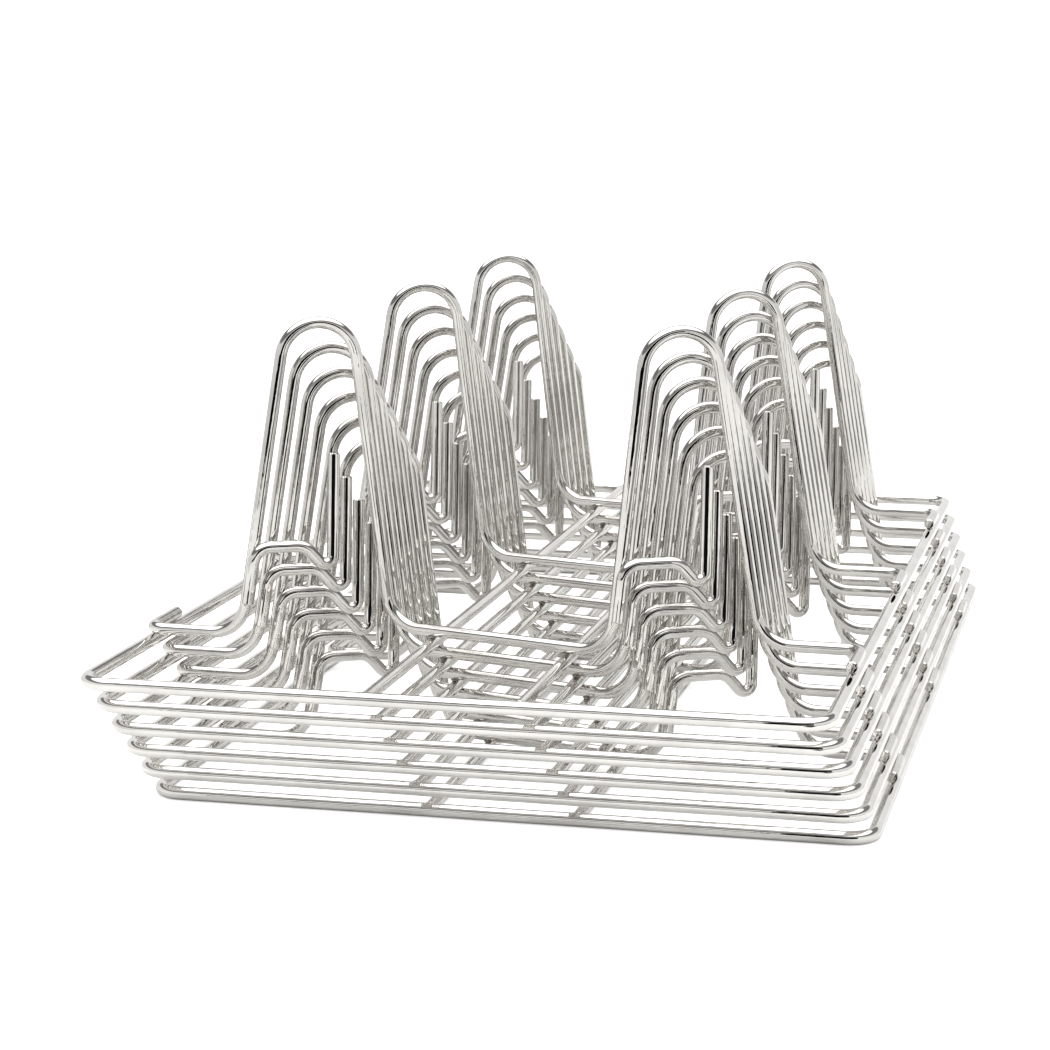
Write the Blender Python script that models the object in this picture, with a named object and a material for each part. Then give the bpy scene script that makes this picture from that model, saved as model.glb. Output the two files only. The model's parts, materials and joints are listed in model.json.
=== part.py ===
"""A stack of six nested wire loop racks, each one lifting off the rack below it.

Every rack is the same welded piece: a rectangular frame wire with two bars along it, three
cross wires that each rise into two tall loops and end in a hook over either side wire, and a
short bent peg wire on the left leg of each loop. The hooks carry the next rack up, whose loops
stand just in front of the ones below.

Metres, +Z up, +Y towards the back. The origin is under the middle of the stack, on the surface
that it stands on.
"""
import math

import bmesh
import bpy
from mathutils import Matrix, Vector

RACKS = 6
ROW_NAMES = ("front", "middle", "back")
LEFT, RIGHT = -1, 1
COLUMN_NAMES = {LEFT: "left", RIGHT: "right"}

# Wire sizes and the clearance between touching wires.
FRAME_WIRE = 0.006
LOOP_WIRE = 0.0055
TOUCH_GAP = 0.0003

# Frame, measured over the outside of the wire.
FRAME_WIDTH = 0.325
FRAME_LENGTH = 0.530
CORNER_RADIUS = 0.012
BAR_SPACING = 0.066

# Cross wires: rows along the frame, measured from the middle of the front wire.
FIRST_ROW = 0.095
ROW_PITCH = 0.170
HOOK_LENGTH = 0.034
HOOK_RADIUS = 0.007
HOOK_SETBACK = 0.0135

# Loops: feet on a line turned from the cross wire's own, legs closing towards a round top.
LOOP_FROM_SIDE = 0.075
LOOP_TURN = math.radians(26.7)
FOOT_SPREAD = 0.068
FOOT_RADIUS = 0.016
LOOP_HEIGHT = 0.1445
LOOP_TOP_RADIUS = 0.017
LOOP_LEAN = 0.003

# Peg wires: up the front of a loop's left leg, across, down in a V, and up to the free end,
# which leans back into the loop's opening.
PEG_START = 0.0205
PEG_RUN_HEIGHT = 0.046
PEG_RUN_END = -0.0055
PEG_DIP = 0.0317
PEG_ACROSS = 0.0067
PEG_TOP = 0.0865
PEG_TOP_ACROSS = 0.0091
PEG_LEAN_BACK = 0.0052
PEG_RUN_RADIUS = 0.008
PEG_DIP_RADIUS = 0.0036

# How the racks nest: each one up sits forward and to the left of the one below.
NEST_RIGHT = 0.0026
NEST_BACK = 0.0097
NEST_PITCH = FRAME_WIRE + LOOP_WIRE + 2 * TOUCH_GAP

FRAME_SIDES = 8
WIRE_SIDES = 6
ARC_STEP = math.radians(32)

HALF_WIDTH = (FRAME_WIDTH - FRAME_WIRE) / 2
HALF_LENGTH = (FRAME_LENGTH - FRAME_WIRE) / 2
CROSS_LIFT = FRAME_WIRE / 2 + LOOP_WIRE / 2 + TOUCH_GAP
PEG_FORWARD = LOOP_WIRE + TOUCH_GAP
LOOP_CENTRE = HALF_WIDTH - LOOP_FROM_SIDE


def clear_scene():
    for old in list(bpy.data.objects):
        bpy.data.objects.remove(old, do_unlink=True)


def steel(name, colour, roughness):
    material = bpy.data.materials.new(name)
    material.use_nodes = True
    shader = material.node_tree.nodes["Principled BSDF"]
    shader.inputs["Base Color"].default_value = (*colour, 1.0)
    shader.inputs["Metallic"].default_value = 1.0
    shader.inputs["Roughness"].default_value = roughness
    return material


def arc_at_corner(before, corner, after, radius):
    """Points of the round bend that takes the place of a corner."""
    back = (before - corner).normalized()
    ahead = (after - corner).normalized()
    half_angle = back.angle(ahead) / 2
    turn = math.pi - 2 * half_angle
    if radius == 0 or turn < 0.001:
        return [corner]
    centre = corner + (back + ahead).normalized() * radius / math.sin(half_angle)
    start = corner + back * radius / math.tan(half_angle) - centre
    axis = ahead.cross(back)
    steps = math.ceil(turn / ARC_STEP)
    return [centre + Matrix.Rotation(turn * step / steps, 3, axis) @ start for step in range(steps + 1)]


def rounded_path(corners):
    """Path through (point, bend radius) corners, with its two ends left square."""
    path = [corners[0][0]]
    for (before, _), (corner, radius), (after, _) in zip(corners, corners[1:], corners[2:]):
        path += arc_at_corner(before, corner, after, radius)
    path.append(corners[-1][0])
    return path


def wire_mesh(name, path, radius, sides, closed=False):
    """Wire of even section along a path, mitred at each point, with one flat facing up."""
    bm = bmesh.new()
    last = len(path) - 1
    lines = [(path[(i + 1) % len(path)] - path[i]).normalized() for i in range(len(path))]
    up = Vector((0, 0, 1))
    rings = []
    for i, point in enumerate(path):
        ahead = lines[i] if closed or i < last else lines[i - 1]
        back = lines[i - 1] if closed or i > 0 else ahead
        across = back.cross(up).normalized()
        mitre = (back + ahead).normalized()
        ring = []
        for side in range(sides):
            angle = (side + 0.5) * math.tau / sides
            offset = (up * math.cos(angle) + across * math.sin(angle)) * radius
            offset -= back * offset.dot(mitre) / back.dot(mitre)
            ring.append(bm.verts.new(point + offset))
        rings.append(ring)
        up = back.rotation_difference(ahead) @ up
    pairs = zip(rings, rings[1:] + rings[:1]) if closed else zip(rings, rings[1:])
    for ring, following in pairs:
        for side in range(sides):
            other = (side + 1) % sides
            bm.faces.new((ring[side], ring[other], following[other], following[side]))
    if not closed:
        bm.faces.new(rings[0])
        bm.faces.new(rings[-1])
    bmesh.ops.recalc_face_normals(bm, faces=bm.faces)
    mesh = bpy.data.meshes.new(name)
    bm.to_mesh(mesh)
    bm.free()
    return mesh


def finish(mesh, material):
    mesh.materials.clear()
    mesh.materials.append(material)
    mesh.shade_smooth()
    mesh.set_sharp_from_angle(angle=math.radians(65))
    return mesh


def tangent_point(foot, centre, radius, side):
    """Where a straight leg from a foot meets the outer side of the loop's top circle."""
    reach = math.dist(foot, centre)
    aim = math.atan2(centre[1] - foot[1], centre[0] - foot[0])
    angle = aim - side * math.asin(radius / reach)
    length = math.sqrt(reach ** 2 - radius ** 2)
    return foot[0] + length * math.cos(angle), foot[1] + length * math.sin(angle)


def loop_outline(column):
    """(across, up) points of a loop in its own plane, from its left foot to its right foot."""
    feet = {side: (side * FOOT_SPREAD / 2, CROSS_LIFT) for side in (LEFT, RIGHT)}
    centre = (-column * LOOP_LEAN, LOOP_HEIGHT - LOOP_TOP_RADIUS)
    tops = {side: tangent_point(feet[side], centre, LOOP_TOP_RADIUS, side) for side in (LEFT, RIGHT)}
    first, last = (math.atan2(top[1] - centre[1], top[0] - centre[0]) for top in tops.values())
    steps = math.ceil((first - last) / ARC_STEP)
    outline = [feet[LEFT]]
    for step in range(steps + 1):
        angle = first + (last - first) * step / steps
        outline.append((
            centre[0] + LOOP_TOP_RADIUS * math.cos(angle),
            centre[1] + LOOP_TOP_RADIUS * math.sin(angle),
        ))
    outline.append(feet[RIGHT])
    return outline


def loop_plane(column, across, up, forward=0.0):
    """Point in the plane of a column's loop, or that far in front of it."""
    along = Vector((math.cos(LOOP_TURN), math.sin(LOOP_TURN), 0))
    facing = Vector((math.sin(LOOP_TURN), -math.cos(LOOP_TURN), 0))
    return Vector((column * LOOP_CENTRE, 0, up)) + along * across + facing * forward


def grid_mesh(material):
    """Frame wire with its two bars welded between the front and back wires."""
    corners = [(x, y) for x, y in ((1, -1), (1, 1), (-1, 1), (-1, -1))]
    points = [Vector((x * HALF_WIDTH, y * HALF_LENGTH, 0)) for x, y in corners]
    path = []
    for i, corner in enumerate(points):
        path += arc_at_corner(points[i - 1], corner, points[(i + 1) % 4], CORNER_RADIUS)
    flat_to_corner = 1 / math.cos(math.pi / FRAME_SIDES)
    frame = bpy.data.objects.new("frame", wire_mesh(
        "frame", path, FRAME_WIRE / 2 * flat_to_corner, FRAME_SIDES, closed=True))
    bpy.context.collection.objects.link(frame)
    bars = []
    for side in (LEFT, RIGHT):
        ends = [Vector((side * BAR_SPACING / 2, end * HALF_LENGTH, 0)) for end in (-1, 1)]
        bar = bpy.data.objects.new("bar", wire_mesh("bar", ends, LOOP_WIRE / 2, WIRE_SIDES))
        bpy.context.collection.objects.link(bar)
        weld = frame.modifiers.new("weld", "BOOLEAN")
        weld.operation = "UNION"
        weld.solver = "EXACT"
        weld.object = bar
        bars.append(bar)
    welded = frame.evaluated_get(bpy.context.evaluated_depsgraph_get())
    mesh = bpy.data.meshes.new_from_object(welded)
    mesh.name = "grid"
    for helper in (frame, *bars):
        bpy.data.objects.remove(helper, do_unlink=True)
    return finish(mesh, material)


def cross_wire_mesh(material):
    """Hook, left loop, right loop and hook, bent from one wire; the same either way round."""
    corners = []
    for column in (LEFT, RIGHT):
        bend = Vector((column * HALF_WIDTH, column * HOOK_SETBACK, CROSS_LIFT))
        hook = [(bend - Vector((0, column * HOOK_LENGTH, 0)), 0), (bend, HOOK_RADIUS)]
        outline = loop_outline(column)
        loop = [(loop_plane(column, across, up), 0) for across, up in outline]
        loop[0] = (loop[0][0], FOOT_RADIUS)
        loop[-1] = (loop[-1][0], FOOT_RADIUS)
        corners += hook + loop if column == LEFT else loop + hook[::-1]
    return finish(wire_mesh("cross_wire", rounded_path(corners), LOOP_WIRE / 2, WIRE_SIDES), material)


def peg_mesh(column, material):
    """Peg wire for a loop in one column, in front of the loop's left leg."""
    foot, leg_top = loop_outline(column)[:2]
    slope = (leg_top[0] - foot[0]) / (leg_top[1] - foot[1])

    def on_leg(height):
        return foot[0] + slope * (height - foot[1])

    bends = [
        (on_leg(PEG_START), PEG_START, 0),
        (on_leg(PEG_RUN_HEIGHT), PEG_RUN_HEIGHT, PEG_RUN_RADIUS),
        (PEG_RUN_END, PEG_RUN_HEIGHT, PEG_RUN_RADIUS),
        (PEG_ACROSS, PEG_DIP, PEG_DIP_RADIUS),
    ]
    corners = [(loop_plane(column, across, up, PEG_FORWARD), radius) for across, up, radius in bends]
    corners.append((loop_plane(column, PEG_TOP_ACROSS, PEG_TOP, PEG_FORWARD - PEG_LEAN_BACK), 0))
    return finish(wire_mesh("peg_wire", rounded_path(corners), LOOP_WIRE / 2, WIRE_SIDES), material)


def place(name, mesh, rack, y=0.0):
    piece = bpy.data.objects.new(name, mesh)
    bpy.context.collection.objects.link(piece)
    piece.parent = rack
    piece.location = (0, y, 0)


def build():
    clear_scene()
    grid = grid_mesh(steel("frame_wire", (0.80, 0.79, 0.77), 0.08))
    cross_wire = cross_wire_mesh(steel("loop_wire", (0.78, 0.77, 0.75), 0.10))
    peg_steel = steel("peg_wire", (0.78, 0.77, 0.75), 0.12)
    pegs = {column: peg_mesh(column, peg_steel) for column in COLUMN_NAMES}
    for number in range(1, RACKS + 1):
        steps_from_middle = number - (RACKS + 1) / 2
        rack = bpy.data.objects.new(f"rack_{number}", None)
        bpy.context.collection.objects.link(rack)
        rack.location = (
            -steps_from_middle * NEST_RIGHT,
            -steps_from_middle * NEST_BACK,
            FRAME_WIRE / 2 + (number - 1) * NEST_PITCH,
        )
        place(f"rack_{number}_frame", grid, rack)
        for row, row_name in enumerate(ROW_NAMES):
            y = FIRST_ROW + row * ROW_PITCH - HALF_LENGTH
            place(f"rack_{number}_loops_{row_name}", cross_wire, rack, y)
            for column, column_name in COLUMN_NAMES.items():
                place(f"rack_{number}_peg_{row_name}_{column_name}", pegs[column], rack, y)


build()
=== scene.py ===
"""Looks for a nested stack of polished wire loop racks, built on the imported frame.

Every wire of every rack is its own round piece: the frame wire, two bars, three cross wires and
six pegs, with the welds that hold them together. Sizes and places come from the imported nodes; the
bends that a box can't give are named below. Metres, +Z up, +Y towards the back.
"""

import itertools
import json
import math

import bmesh
import bpy
from mathutils import Matrix, Vector, noise

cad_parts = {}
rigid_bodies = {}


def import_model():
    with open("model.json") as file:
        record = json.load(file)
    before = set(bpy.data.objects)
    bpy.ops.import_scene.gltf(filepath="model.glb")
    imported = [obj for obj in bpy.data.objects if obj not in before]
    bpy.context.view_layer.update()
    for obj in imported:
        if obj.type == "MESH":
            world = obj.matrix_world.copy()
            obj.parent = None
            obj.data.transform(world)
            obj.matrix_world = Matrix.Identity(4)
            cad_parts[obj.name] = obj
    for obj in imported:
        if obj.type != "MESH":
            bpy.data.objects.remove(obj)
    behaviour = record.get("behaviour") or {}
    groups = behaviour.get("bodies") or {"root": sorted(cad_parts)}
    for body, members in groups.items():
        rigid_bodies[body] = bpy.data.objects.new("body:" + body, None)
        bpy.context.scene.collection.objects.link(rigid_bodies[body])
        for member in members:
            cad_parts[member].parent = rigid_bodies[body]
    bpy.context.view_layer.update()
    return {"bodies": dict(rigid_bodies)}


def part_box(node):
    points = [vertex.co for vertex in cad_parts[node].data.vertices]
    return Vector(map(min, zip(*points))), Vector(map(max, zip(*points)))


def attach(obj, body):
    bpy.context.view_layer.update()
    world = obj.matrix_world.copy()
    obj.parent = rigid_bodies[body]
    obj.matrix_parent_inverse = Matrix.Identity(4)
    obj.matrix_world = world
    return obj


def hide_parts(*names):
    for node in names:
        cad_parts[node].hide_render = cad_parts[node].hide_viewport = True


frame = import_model()

RACKS = len(frame["bodies"])
ROW_NAMES = ("front", "middle", "back")
LEFT, RIGHT = -1, 1
COLUMN_NAMES = {LEFT: "left", RIGHT: "right"}

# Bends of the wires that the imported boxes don't give.
LOOP_WIRE = 0.0055
TOUCH_GAP = 0.0003
CORNER_RADIUS = 0.012
BAR_SPACING = 0.066
HOOK_LENGTH = 0.034
HOOK_RADIUS = 0.007
HOOK_SETBACK = 0.0135
LOOP_FROM_SIDE = 0.075
LOOP_TURN = math.radians(26.7)
FOOT_SPREAD = 0.068
FOOT_RADIUS = 0.016
LOOP_TOP_RADIUS = 0.017
LOOP_LEAN = 0.003
PEG_START = 0.0205
PEG_RUN_HEIGHT = 0.046
PEG_RUN_END = -0.0055
PEG_DIP = 0.0317
PEG_ACROSS = 0.0067
PEG_TOP_ACROSS = 0.0091
PEG_LEAN_BACK = 0.0052
PEG_RUN_RADIUS = 0.008
PEG_DIP_RADIUS = 0.0036

# How the wires are drawn. SEED_SHIFT sets the marks of one wire apart from the next wire's.
WIRE_SIDES = 20
RING_ANGLES = [side * math.tau / WIRE_SIDES for side in range(WIRE_SIDES)]
SEED_SHIFT = 1.31
ARC_STEP = math.radians(7)
STRAIGHT_STEP = 0.012
WOBBLE = 0.00012
WOBBLE_LENGTH = 0.07
WOBBLE_SHIFTS = (Vector((0, 0, 0)), Vector((31, 0, 0)), Vector((0, 57, 0)))
CUT_CHAMFER = 0.0005
SHARP_EDGE = math.radians(30)

# Radii of the weld beads, across the rack, along it and up.
HOOK_BEAD = (0.0017, 0.003, 0.0008)
CROSSING_BEAD = (0.0021, 0.0021, 0.0008)
PEG_BEAD = (0.0014, 0.0012, 0.0042)
BAR_END_BEAD = (0.0032, 0.0012, 0.0029)
BEAD_UNEVENNESS = 0.16
HOOK_BEAD_PLACES = (0.35, 0.8)
CROSSING_BEAD_LIFT = 0.0004
PEG_BEAD_LIFT = 0.008

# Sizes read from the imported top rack, whose many-sided wires have a flat at top and bottom.
FRAME_LOW, FRAME_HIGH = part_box(f"rack_{RACKS}_frame")
LOOPS_LOW, LOOPS_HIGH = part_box(f"rack_{RACKS}_loops_front")
PEG_LOW, PEG_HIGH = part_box(f"rack_{RACKS}_peg_front_left")
FRAME_WIRE = FRAME_HIGH.z - FRAME_LOW.z
HALF_WIDTH = (FRAME_HIGH.x - FRAME_LOW.x - FRAME_WIRE) / 2
HALF_LENGTH = (FRAME_HIGH.y - FRAME_LOW.y - FRAME_WIRE) / 2
CROSS_LIFT = FRAME_WIRE / 2 + LOOP_WIRE / 2 + TOUCH_GAP
FRAME_LEVEL = (FRAME_LOW.z + FRAME_HIGH.z) / 2
LOOP_HEIGHT = LOOPS_HIGH.z - LOOP_WIRE / 2 * math.cos(math.pi / 6) - FRAME_LEVEL
PEG_SLOPE = math.atan2(
    math.hypot(PEG_TOP_ACROSS - PEG_ACROSS, PEG_LEAN_BACK),
    PEG_HIGH.z - PEG_LOW.z,
)
PEG_TOP = PEG_HIGH.z - FRAME_LEVEL - LOOP_WIRE / 2 * math.sin(PEG_SLOPE)
PEG_FORWARD = LOOP_WIRE + TOUCH_GAP
LOOP_CENTRE = HALF_WIDTH - LOOP_FROM_SIDE


def row_places():
    """How far each row of loops is from the middle of its rack."""
    low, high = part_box("rack_1_frame")
    places = []
    for row_name in ROW_NAMES:
        row_low, row_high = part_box(f"rack_1_loops_{row_name}")
        places.append((row_low.y + row_high.y - low.y - high.y) / 2)
    return places


ROWS = row_places()


# Paths of the wires, in a rack's own coordinates.

def arc_at_corner(before, corner, after, radius):
    """Points of the round bend that takes the place of a corner."""
    back = (before - corner).normalized()
    ahead = (after - corner).normalized()
    half_angle = back.angle(ahead) / 2
    turn = math.pi - 2 * half_angle
    if radius == 0 or turn < 0.001:
        return [corner]
    centre = corner + (back + ahead).normalized() * radius / math.sin(half_angle)
    start = corner + back * radius / math.tan(half_angle) - centre
    axis = ahead.cross(back)
    steps = math.ceil(turn / ARC_STEP)
    return [centre + Matrix.Rotation(turn * step / steps, 3, axis) @ start for step in range(steps + 1)]


def rounded_path(corners):
    """Path through (point, bend radius) corners, with its two ends left square."""
    path = [corners[0][0]]
    for (before, _), (corner, radius), (after, _) in zip(corners, corners[1:], corners[2:]):
        path += arc_at_corner(before, corner, after, radius)
    path.append(corners[-1][0])
    return path


def tangent_point(foot, centre, radius, side):
    """Where a straight leg from a foot meets the outer side of the loop's top circle."""
    reach = math.dist(foot, centre)
    aim = math.atan2(centre[1] - foot[1], centre[0] - foot[0])
    angle = aim - side * math.asin(radius / reach)
    length = math.sqrt(reach ** 2 - radius ** 2)
    return foot[0] + length * math.cos(angle), foot[1] + length * math.sin(angle)


def loop_outline(column):
    """(across, up) points of a loop in its own plane, from its left foot to its right foot."""
    feet = {side: (side * FOOT_SPREAD / 2, CROSS_LIFT) for side in (LEFT, RIGHT)}
    centre = (-column * LOOP_LEAN, LOOP_HEIGHT - LOOP_TOP_RADIUS)
    tops = {side: tangent_point(feet[side], centre, LOOP_TOP_RADIUS, side) for side in (LEFT, RIGHT)}
    first, last = (math.atan2(top[1] - centre[1], top[0] - centre[0]) for top in tops.values())
    steps = math.ceil((first - last) / ARC_STEP)
    outline = [feet[LEFT]]
    for step in range(steps + 1):
        angle = first + (last - first) * step / steps
        outline.append((
            centre[0] + LOOP_TOP_RADIUS * math.cos(angle),
            centre[1] + LOOP_TOP_RADIUS * math.sin(angle),
        ))
    outline.append(feet[RIGHT])
    return outline


def loop_plane(column, across, up, forward=0.0):
    """Point in the plane of a column's loop, or that far in front of it."""
    along = Vector((math.cos(LOOP_TURN), math.sin(LOOP_TURN), 0))
    facing = Vector((math.sin(LOOP_TURN), -math.cos(LOOP_TURN), 0))
    return Vector((column * LOOP_CENTRE, 0, up)) + along * across + facing * forward


def frame_path():
    """Closed rectangle, from the back left corner, where the metal's marks have their seam."""
    signs = ((-1, 1), (-1, -1), (1, -1), (1, 1))
    corners = [Vector((x * HALF_WIDTH, y * HALF_LENGTH, 0)) for x, y in signs]
    path = []
    for i, corner in enumerate(corners):
        path += arc_at_corner(corners[i - 1], corner, corners[(i + 1) % 4], CORNER_RADIUS)
    return path


def bar_path(side):
    """Straight bar from inside the frame's front wire to inside its back wire."""
    reach = HALF_LENGTH - FRAME_WIRE / 4
    return [Vector((side * BAR_SPACING / 2, end * reach, 0)) for end in (-1, 1)]


def cross_path():
    """Hook, left loop, right loop and hook, bent from one wire; the same either way round."""
    corners = []
    for column in (LEFT, RIGHT):
        bend = Vector((column * HALF_WIDTH, column * HOOK_SETBACK, CROSS_LIFT))
        hook = [(bend - Vector((0, column * HOOK_LENGTH, 0)), 0), (bend, HOOK_RADIUS)]
        loop = [(loop_plane(column, across, up), 0) for across, up in loop_outline(column)]
        loop[0] = (loop[0][0], FOOT_RADIUS)
        loop[-1] = (loop[-1][0], FOOT_RADIUS)
        corners += hook + loop if column == LEFT else loop + hook[::-1]
    return rounded_path(corners)


def leg_across(column, height):
    """How far across a loop its left leg is at a height."""
    foot, leg_top = loop_outline(column)[:2]
    return foot[0] + (leg_top[0] - foot[0]) * (height - foot[1]) / (leg_top[1] - foot[1])


def peg_path(column):
    """Peg in front of a loop: up its left leg, across, a short dip, then up to the free end."""
    bends = [
        (leg_across(column, PEG_START), PEG_START, 0),
        (leg_across(column, PEG_RUN_HEIGHT), PEG_RUN_HEIGHT, PEG_RUN_RADIUS),
        (PEG_RUN_END, PEG_RUN_HEIGHT, PEG_RUN_RADIUS),
        (PEG_ACROSS, PEG_DIP, PEG_DIP_RADIUS),
    ]
    corners = [
        (loop_plane(column, across, up, PEG_FORWARD), radius) for across, up, radius in bends
    ]
    free_end = loop_plane(column, PEG_TOP_ACROSS, PEG_TOP, PEG_FORWARD - PEG_LEAN_BACK)
    return rounded_path([*corners, (free_end, 0)])


# Wires as meshes.

def divided(path, closed):
    """The path with its long straights cut into steps, so that they can bow a little."""
    ends = path[1:] + path[:1] if closed else path[1:]
    points = []
    for start, end in zip(path, ends):
        steps = max(1, round((end - start).length / STRAIGHT_STEP))
        points += [start.lerp(end, step / steps) for step in range(steps)]
    return points if closed else points + [path[-1]]


def hand_bent(path, seed):
    """The path with the slight waves that a straightened wire keeps."""
    shift = Vector((seed * 3.7, seed * 1.9, seed * 5.3))
    bent = []
    for point in path:
        place = point / WOBBLE_LENGTH + shift
        bow = Vector(noise.noise(place + apart) for apart in WOBBLE_SHIFTS)
        bent.append(point + bow * WOBBLE)
    return bent


def cut_ends(path, radius):
    """An open path with a short taper at both ends, and the radius at each of its points."""
    first = (path[0] - path[1]).normalized() * CUT_CHAMFER
    last = (path[-1] - path[-2]).normalized() * CUT_CHAMFER
    tapered = [path[0], path[0] - first, *path[1:-1], path[-1] - last, path[-1]]
    return tapered, [radius - CUT_CHAMFER, *[radius] * len(path), radius - CUT_CHAMFER]


def rings_along(bm, path, radii, closed):
    """Rings of vertices round a path, each mitred between the two lines that meet there."""
    lines = [(path[(i + 1) % len(path)] - path[i]).normalized() for i in range(len(path))]
    up = Vector((0, 1, 0)) if abs(lines[0].z) > 0.9 else Vector((0, 0, 1))
    up = (up - lines[0] * up.dot(lines[0])).normalized()
    rings = []
    for i, (point, radius) in enumerate(zip(path, radii)):
        ahead = lines[i] if closed or i < len(path) - 1 else lines[i - 1]
        back = lines[i - 1] if closed or i > 0 else ahead
        across = back.cross(up).normalized()
        mitre = (back + ahead).normalized()
        ring = []
        for angle in RING_ANGLES:
            offset = (up * math.cos(angle) + across * math.sin(angle)) * radius
            offset -= back * offset.dot(mitre) / back.dot(mitre)
            ring.append(bm.verts.new(point + offset))
        rings.append(ring)
        up = back.rotation_difference(ahead) @ up
    return rings


def wire(name, path, diameter, seed, closed=False):
    """Round wire along a path, with chamfered cut ends, and its own straightened coordinates."""
    path = hand_bent(divided(path, closed), seed)
    radii = [diameter / 2] * len(path)
    if not closed:
        path, radii = cut_ends(path, diameter / 2)
    bm = bmesh.new()
    straightened = bm.loops.layers.float_vector.new("along_wire")
    rings = rings_along(bm, path, radii, closed)
    lengths = [seed * SEED_SHIFT]
    for point, following in zip(path, path[1:] + path[:1]):
        lengths.append(lengths[-1] + (following - point).length)
    section = [(math.cos(a) * diameter / 2, math.sin(a) * diameter / 2) for a in RING_ANGLES]
    pairs = zip(rings, rings[1:] + rings[:1]) if closed else zip(rings, rings[1:])
    for i, (ring, following) in enumerate(pairs):
        for side in range(WIRE_SIDES):
            other = (side + 1) % WIRE_SIDES
            face = bm.faces.new((ring[side], ring[other], following[other], following[side]))
            places = ((i, side), (i, other), (i + 1, other), (i + 1, side))
            for corner, (step, turn) in zip(face.loops, places):
                corner[straightened] = (lengths[step], *section[turn])
    if not closed:
        for ring, length in ((rings[0], lengths[0]), (rings[-1], lengths[-2])):
            for corner in bm.faces.new(ring).loops:
                corner[straightened] = (length, *section[ring.index(corner.vert)])
    bmesh.ops.recalc_face_normals(bm, faces=bm.faces)
    return mesh_object(name, bm)


def plain_object(name, bm):
    """Object made from a bmesh and put in the scene."""
    mesh = bpy.data.meshes.new(name)
    bm.to_mesh(mesh)
    bm.free()
    piece = bpy.data.objects.new(name, mesh)
    bpy.context.collection.objects.link(piece)
    return piece


def mesh_object(name, bm):
    """Smooth object with crisp cut ends."""
    piece = plain_object(name, bm)
    piece.data.shade_smooth()
    piece.data.set_sharp_from_angle(angle=SHARP_EDGE)
    return piece


def add_weld(bm, centre, size, seed):
    """Small uneven bead of weld metal round a point, size being its three radii."""
    made = bmesh.ops.create_icosphere(bm, subdivisions=3, radius=1)
    for vertex in made["verts"]:
        rough = 1 + BEAD_UNEVENNESS * noise.noise(vertex.co * 1.7 + Vector((seed, seed * 0.6, 0)))
        vertex.co = centre + Vector(a * b * rough for a, b in zip(vertex.co, size))


def rack_welds(name, seed):
    """Beads under the cross wires, behind the peg feet and at the bar ends."""
    bm = bmesh.new()
    bead_numbers = itertools.count(seed * 100 + 1)
    between = FRAME_WIRE / 2 + TOUCH_GAP / 2
    for y, column in itertools.product(ROWS, (LEFT, RIGHT)):
        for reach in HOOK_BEAD_PLACES:
            along = y + column * (HOOK_SETBACK - HOOK_LENGTH * reach)
            add_weld(bm, Vector((column * HALF_WIDTH, along, between)), HOOK_BEAD, next(bead_numbers))
        inner = loop_plane(column, -column * FOOT_SPREAD / 2, 0)
        across = column * BAR_SPACING / 2
        along = y + inner.y / inner.x * across
        crossing = Vector((across, along, LOOP_WIRE / 2 + CROSSING_BEAD_LIFT))
        add_weld(bm, crossing, CROSSING_BEAD, next(bead_numbers))
        height = PEG_START + PEG_BEAD_LIFT
        foot = loop_plane(column, leg_across(column, height), height, LOOP_WIRE / 2)
        add_weld(bm, foot + Vector((0, y, 0)), PEG_BEAD, next(bead_numbers))
    for side, end in itertools.product((LEFT, RIGHT), (-1, 1)):
        joint = Vector((side * BAR_SPACING / 2, end * (HALF_LENGTH - FRAME_WIRE / 2), 0))
        add_weld(bm, joint, BAR_END_BEAD, next(bead_numbers))
    return mesh_object(name, bm)


# Materials.

class Nodes:
    """Short ways to add and join the nodes of one material or world."""

    def __init__(self, tree):
        self.tree = tree

    def add(self, kind, **settings):
        node = self.tree.nodes.new(kind)
        for key, value in settings.items():
            setattr(node, key, value)
        return node

    def join(self, source, target):
        self.tree.links.new(source, target)

    def noise(self, coordinates, scale, detail=2.0, roughness=0.5):
        node = self.add("ShaderNodeTexNoise")
        node.inputs["Scale"].default_value = scale
        node.inputs["Detail"].default_value = detail
        node.inputs["Roughness"].default_value = roughness
        self.join(coordinates, node.inputs["Vector"])
        return node.outputs["Fac"]

    def stretched(self, coordinates, scale):
        node = self.add("ShaderNodeMapping", vector_type="POINT")
        node.inputs["Scale"].default_value = scale
        self.join(coordinates, node.inputs["Vector"])
        return node.outputs["Vector"]

    def span(self, value, low, high, to_low, to_high, smooth=False):
        node = self.add("ShaderNodeMapRange")
        if smooth:
            node.interpolation_type = "SMOOTHSTEP"
        for key, number in (("From Min", low), ("From Max", high), ("To Min", to_low), ("To Max", to_high)):
            node.inputs[key].default_value = number
        self.join(value, node.inputs["Value"])
        return node.outputs["Result"]

    def maths(self, operation, first, second):
        node = self.add("ShaderNodeMath", operation=operation)
        for socket, value in zip(node.inputs, (first, second)):
            if isinstance(value, (int, float)):
                socket.default_value = value
            else:
                self.join(value, socket)
        return node.outputs["Value"]

    def blend(self, factor, first, second):
        node = self.add("ShaderNodeMix", data_type="RGBA")
        self.join(factor, node.inputs["Factor"])
        for socket, value in ((node.inputs[6], first), (node.inputs[7], second)):
            if isinstance(value, tuple):
                socket.default_value = (*value, 1.0)
            else:
                self.join(value, socket)
        return node.outputs[2]

    def bump(self, height, strength, distance, normal=None):
        node = self.add("ShaderNodeBump")
        node.inputs["Strength"].default_value = strength
        node.inputs["Distance"].default_value = distance
        self.join(height, node.inputs["Height"])
        if normal is not None:
            self.join(normal, node.inputs["Normal"])
        return node.outputs["Normal"]


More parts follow.
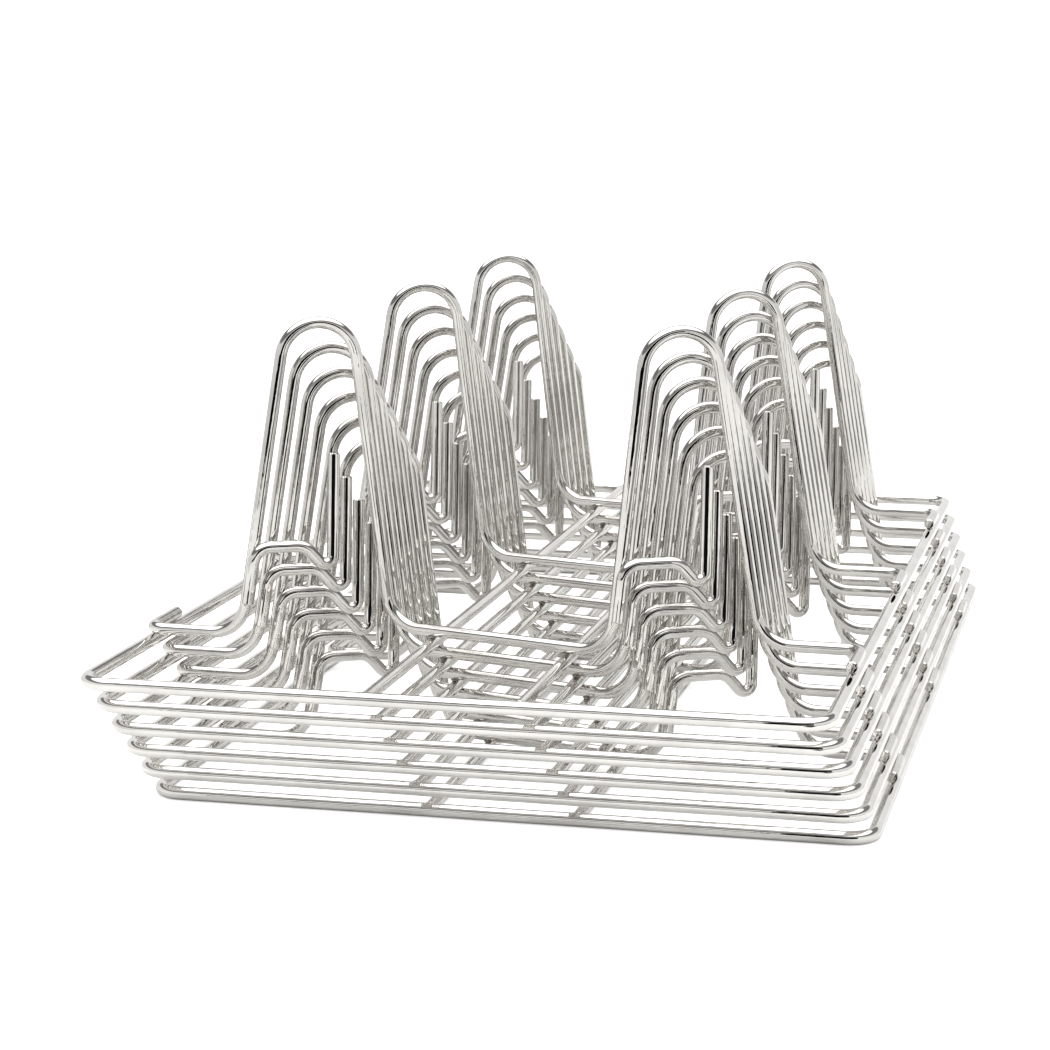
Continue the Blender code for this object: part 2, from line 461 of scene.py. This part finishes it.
def polished_wire(name, bright, grey, smooth, worn):
    """Bright drawn wire: die lines along it, a soft uneven polish, and dull handling marks."""
    material = bpy.data.materials.new(name)
    material.use_nodes = True
    shader = material.node_tree.nodes["Principled BSDF"]
    nodes = Nodes(material.node_tree)
    shader.inputs["Metallic"].default_value = 1.0
    along = nodes.add("ShaderNodeAttribute", attribute_name="along_wire").outputs["Vector"]
    place = nodes.add("ShaderNodeTexCoord").outputs["Object"]

    die_lines = nodes.noise(nodes.stretched(along, (25, 3500, 3500)), 1.0, 3.0, 0.6)
    polish = nodes.noise(nodes.stretched(along, (90, 260, 260)), 1.0, 2.0)
    handled = nodes.noise(place, 38.0, 4.0, 0.62)
    pits = nodes.noise(place, 1400.0, 2.0, 0.5)

    tone = nodes.span(handled, 0.35, 0.68, 0.0, 1.0, smooth=True)
    colour = nodes.blend(tone, bright, grey)
    nodes.join(colour, shader.inputs["Base Color"])

    dull = nodes.span(handled, 0.5, 0.74, smooth, worn, smooth=True)
    fine = nodes.span(die_lines, 0.3, 0.75, 0.0, 0.025)
    specks = nodes.span(pits, 0.68, 0.8, 0.0, 0.10)
    nodes.join(nodes.maths("ADD", nodes.maths("ADD", dull, fine), specks), shader.inputs["Roughness"])

    waves = nodes.bump(polish, 0.35, 0.00025)
    lines = nodes.bump(die_lines, 0.10, 0.00002, waves)
    nodes.join(lines, shader.inputs["Normal"])
    return material


def weld_metal(name):
    """Spot weld: rippled, dulled metal with a straw to blue-grey heat tint."""
    material = bpy.data.materials.new(name)
    material.use_nodes = True
    shader = material.node_tree.nodes["Principled BSDF"]
    nodes = Nodes(material.node_tree)
    shader.inputs["Metallic"].default_value = 1.0
    place = nodes.add("ShaderNodeTexCoord").outputs["Object"]
    tint = nodes.noise(place, 420.0, 3.0, 0.6)
    ripple = nodes.noise(place, 1500.0, 3.0, 0.6)
    grey, straw, blue = (0.34, 0.33, 0.32), (0.42, 0.37, 0.31), (0.24, 0.25, 0.28)
    warm = nodes.blend(nodes.span(tint, 0.4, 0.62, 0.0, 1.0), grey, straw)
    colour = nodes.blend(nodes.span(tint, 0.58, 0.72, 0.0, 1.0), warm, blue)
    nodes.join(colour, shader.inputs["Base Color"])
    nodes.join(nodes.span(ripple, 0.3, 0.7, 0.22, 0.45), shader.inputs["Roughness"])
    nodes.join(nodes.bump(ripple, 0.5, 0.0002), shader.inputs["Normal"])
    return material


# The racks.

def dress(piece, body, material, slot, *nodes):
    """Gives a piece its metal, ties it to its body and hides the CAD nodes it replaces; slot is not used.
    """
    piece.data.materials.append(material)
    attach(piece, body)
    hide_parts(*nodes)


def build_rack(number, steel):
    """The twelve wires and the welds of one rack, each wire with a seed of its own."""
    body = f"rack_{number}"
    low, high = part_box(f"{body}_frame")
    place = (low + high) / 2
    seed = number * 10

    def set_down(piece, y=0.0):
        piece.data.transform(Matrix.Translation(place + Vector((0, y, 0))))
        return piece

    frame_name = f"{body}_frame_wire"
    frame_wire = set_down(wire(frame_name, frame_path(), FRAME_WIRE, seed, closed=True))
    dress(frame_wire, body, steel["frame_wire"], "frame_wire", f"{body}_frame")
    for side, side_name in COLUMN_NAMES.items():
        seed += 1
        bar = set_down(wire(f"{body}_bar_{side_name}", bar_path(side), LOOP_WIRE, seed))
        dress(bar, body, steel["frame_wire"], "frame_wire", f"{body}_frame")
    for y, row_name in zip(ROWS, ROW_NAMES):
        seed += 1
        node = f"{body}_loops_{row_name}"
        cross_name = f"{body}_cross_wire_{row_name}"
        cross_wire = set_down(wire(cross_name, cross_path(), LOOP_WIRE, seed), y)
        dress(cross_wire, body, steel["loop_wire"], "loop_wire", node)
        for column, column_name in COLUMN_NAMES.items():
            seed += 0.37
            node = f"{body}_peg_{row_name}_{column_name}"
            peg_name = f"{body}_peg_wire_{row_name}_{column_name}"
            peg = set_down(wire(peg_name, peg_path(column), LOOP_WIRE, seed), y)
            dress(peg, body, steel["peg_wire"], "peg_wire", node)
    welds = set_down(rack_welds(f"{body}_welds", number))
    dress(welds, body, steel["weld"], "frame_wire")


# Surroundings.

FLOOR_HALF_SIZE = 14
FLOOR_GLOW = 0.55


def floor():
    """White paper that glows a little to the camera, but not in the metal's reflections."""
    bm = bmesh.new()
    bmesh.ops.create_grid(bm, x_segments=1, y_segments=1, size=FLOOR_HALF_SIZE)
    piece = plain_object("floor", bm)
    material = bpy.data.materials.new("floor_paper")
    material.use_nodes = True
    shader = material.node_tree.nodes["Principled BSDF"]
    shader.inputs["Base Color"].default_value = (0.86, 0.86, 0.855, 1)
    shader.inputs["Roughness"].default_value = 0.9
    shader.inputs["Specular IOR Level"].default_value = 0.1
    shader.inputs["Emission Color"].default_value = (1, 1, 0.99, 1)
    nodes = Nodes(material.node_tree)
    seen = nodes.add("ShaderNodeLightPath").outputs["Is Camera Ray"]
    nodes.join(nodes.span(seen, 0.0, 1.0, 0.0, FLOOR_GLOW), shader.inputs["Emission Strength"])
    piece.data.materials.append(material)


# Brightness of the studio by height above the horizon, in degrees: pale walls, a grey gap, and
# the big soft light overhead.
STUDIO_LIGHT = (
    (-90, 0.9), (0, 0.9), (21, 0.95), (25, 0.25), (41, 0.22), (47, 2.4), (90, 2.4),
)
WARMTH = (1, 0.995, 0.98)
BACKDROP = (1.2, 1.2, 1.2)


def studio_world():
    """Soft white room, told apart only by height above the horizon."""
    world = bpy.data.worlds.new("studio")
    bpy.context.scene.world = world
    world.use_nodes = True
    nodes = Nodes(world.node_tree)
    background = world.node_tree.nodes["Background"]
    parts = nodes.add("ShaderNodeSeparateXYZ")
    nodes.join(nodes.add("ShaderNodeTexCoord").outputs["Generated"], parts.inputs["Vector"])
    height = nodes.maths("ARCSINE", parts.outputs["Z"], 0.0)
    ramp = nodes.add("ShaderNodeValToRGB")
    nodes.join(nodes.span(height, -math.pi / 2, math.pi / 2, 0.0, 1.0), ramp.inputs["Fac"])
    stops = ramp.color_ramp.elements
    while len(stops) < len(STUDIO_LIGHT):
        stops.new(0.5)
    for stop, (degrees, light) in zip(stops, STUDIO_LIGHT):
        stop.position = (degrees + 90) / 180
        stop.color = (*(light * share for share in WARMTH), 1.0)
    seen = nodes.add("ShaderNodeLightPath").outputs["Is Camera Ray"]
    colour = nodes.blend(seen, ramp.outputs["Color"], BACKDROP)
    nodes.join(colour, background.inputs["Color"])


# Cards that only show in reflections: name, shade and corners. The wall and rail stand far in
# front and draw the black lines on pegs and legs. The others lie low. The leaf and the dark mat
# draw the black wedges on the front wires; the two grey ones tone down legs that lean over them.
BLACK = 0.004
CARDS = (
    ("dark_wall", BLACK, (
        (-0.045, -1.5, -0.02), (1.3, -1.5, -0.02), (1.3, -1.5, 0.64), (-0.065, -1.5, 0.64),
    )),
    ("dark_rail", BLACK, (
        (-0.6, -1.5, 0.06), (-0.045, -1.5, 0.06), (-0.045, -1.5, 0.22), (-0.6, -1.5, 0.22),
    )),
    ("dark_leaf", BLACK, (
        (-0.03, -0.52, 0.035), (-0.09, -0.48, 0.035), (-0.26, -0.74, 0.035), (-0.12, -0.82, 0.035),
    )),
    ("dark_mat", BLACK, (
        (0.18, -0.5, 0.001), (0.22, -0.38, 0.001), (0.64, -0.6, 0.001), (0.42, -0.9, 0.001),
    )),
    ("grey_mat", 0.25, (
        (0.3, -0.62, 0.0005), (1.7, -1.3, 0.0005), (1.7, 0.1, 0.0005), (0.75, -0.1, 0.0005),
    )),
    ("grey_back", 0.2, (
        (-0.35, 0.62, 0.0005), (-1.7, 1.3, 0.0005), (-1.7, -0.1, 0.0005), (-0.75, 0.1, 0.0005),
    )),
)


def reflection_card(name, shade, corners):
    """Matt card that only shows in reflections, such as the dark end of a studio."""
    bm = bmesh.new()
    bm.faces.new([bm.verts.new(corner) for corner in corners])
    card = plain_object(name, bm)
    material = bpy.data.materials.new(name)
    material.use_nodes = True
    shader = material.node_tree.nodes["Principled BSDF"]
    shader.inputs["Base Color"].default_value = (shade, shade, shade, 1)
    shader.inputs["Roughness"].default_value = 1.0
    shader.inputs["Specular IOR Level"].default_value = 0.0
    card.data.materials.append(material)
    card.visible_camera = False
    card.visible_diffuse = False
    card.visible_shadow = False


# Camera: where it looks, from how far and along which direction.
CAMERA_AIM = Vector((-0.0415, 0.0, 0.0846))
CAMERA_DISTANCE = 1.377
CAMERA_YAW = math.radians(13.93)
CAMERA_PITCH = math.radians(10.58)
CAMERA_ROLL = math.radians(0.25)
CAMERA_LENS = 91.86


def camera():
    """Long lens, a little above the racks and to the right of their front."""
    data = bpy.data.cameras.new("camera")
    data.lens = CAMERA_LENS
    data.sensor_width = 36
    data.clip_start = 0.01
    eye = bpy.data.objects.new("camera", data)
    bpy.context.collection.objects.link(eye)
    turn = (
        Matrix.Rotation(CAMERA_YAW, 4, "Z")
        @ Matrix.Rotation(math.pi / 2 - CAMERA_PITCH, 4, "X")
        @ Matrix.Rotation(-CAMERA_ROLL, 4, "Z")
    )
    back_off = Matrix.Translation((0, 0, CAMERA_DISTANCE))
    eye.matrix_world = Matrix.Translation(CAMERA_AIM) @ turn @ back_off
    bpy.context.scene.camera = eye


STEEL = {
    "frame_wire": polished_wire("frame_steel", (0.8, 0.789, 0.772), (0.7, 0.688, 0.671), 0.012, 0.05),
    "loop_wire": polished_wire("loop_steel", (0.7, 0.688, 0.669), (0.585, 0.573, 0.554), 0.012, 0.06),
    "peg_wire": polished_wire("peg_steel", (0.72, 0.708, 0.689), (0.605, 0.593, 0.574), 0.012, 0.06),
    "weld": weld_metal("weld_steel"),
}
for rack_number in range(1, RACKS + 1):
    build_rack(rack_number, STEEL)

floor()
studio_world()
for card_name, card_shade, card_corners in CARDS:
    reflection_card(card_name, card_shade, card_corners)
camera()
bpy.context.scene.view_settings.view_transform = "Standard"
